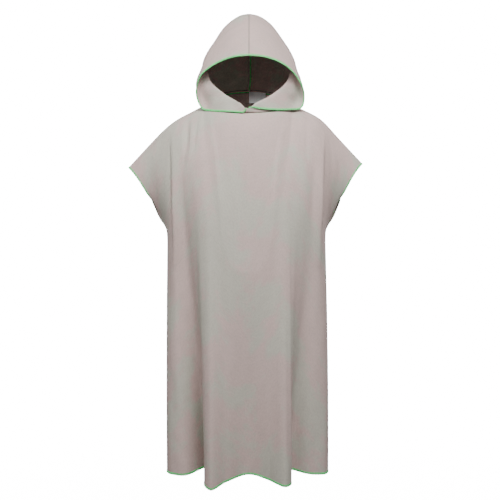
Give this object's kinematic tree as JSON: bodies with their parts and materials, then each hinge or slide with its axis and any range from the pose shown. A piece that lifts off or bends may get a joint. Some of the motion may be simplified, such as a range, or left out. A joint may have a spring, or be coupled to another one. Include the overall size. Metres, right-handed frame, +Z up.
{
  "type": "hooded changing poncho",
  "caption": "Long pull-over poncho of grey microfibre cloth as it hangs when worn, with a standing hood, short grown-on sleeves and green overlocked edges.",
  "frame": {"origin": "midway between the two sides of the neckline, where the wearer's shoulders carry the garment", "axes": "+Z up, the front faces -Y, +X towards the viewer's right when the front is seen"},
  "size_m": [0.6932, 0.3053, 1.3826],
  "materials": {
    "cloth": "brushed microfibre, matt",
    "label": "smooth satin tape"
  },
  "bodies": {
    "root": {"front": "cloth", "back": "cloth", "hood_left": "cloth", "hood_right": "cloth", "label": "label"}
  },
  "joints": []
}
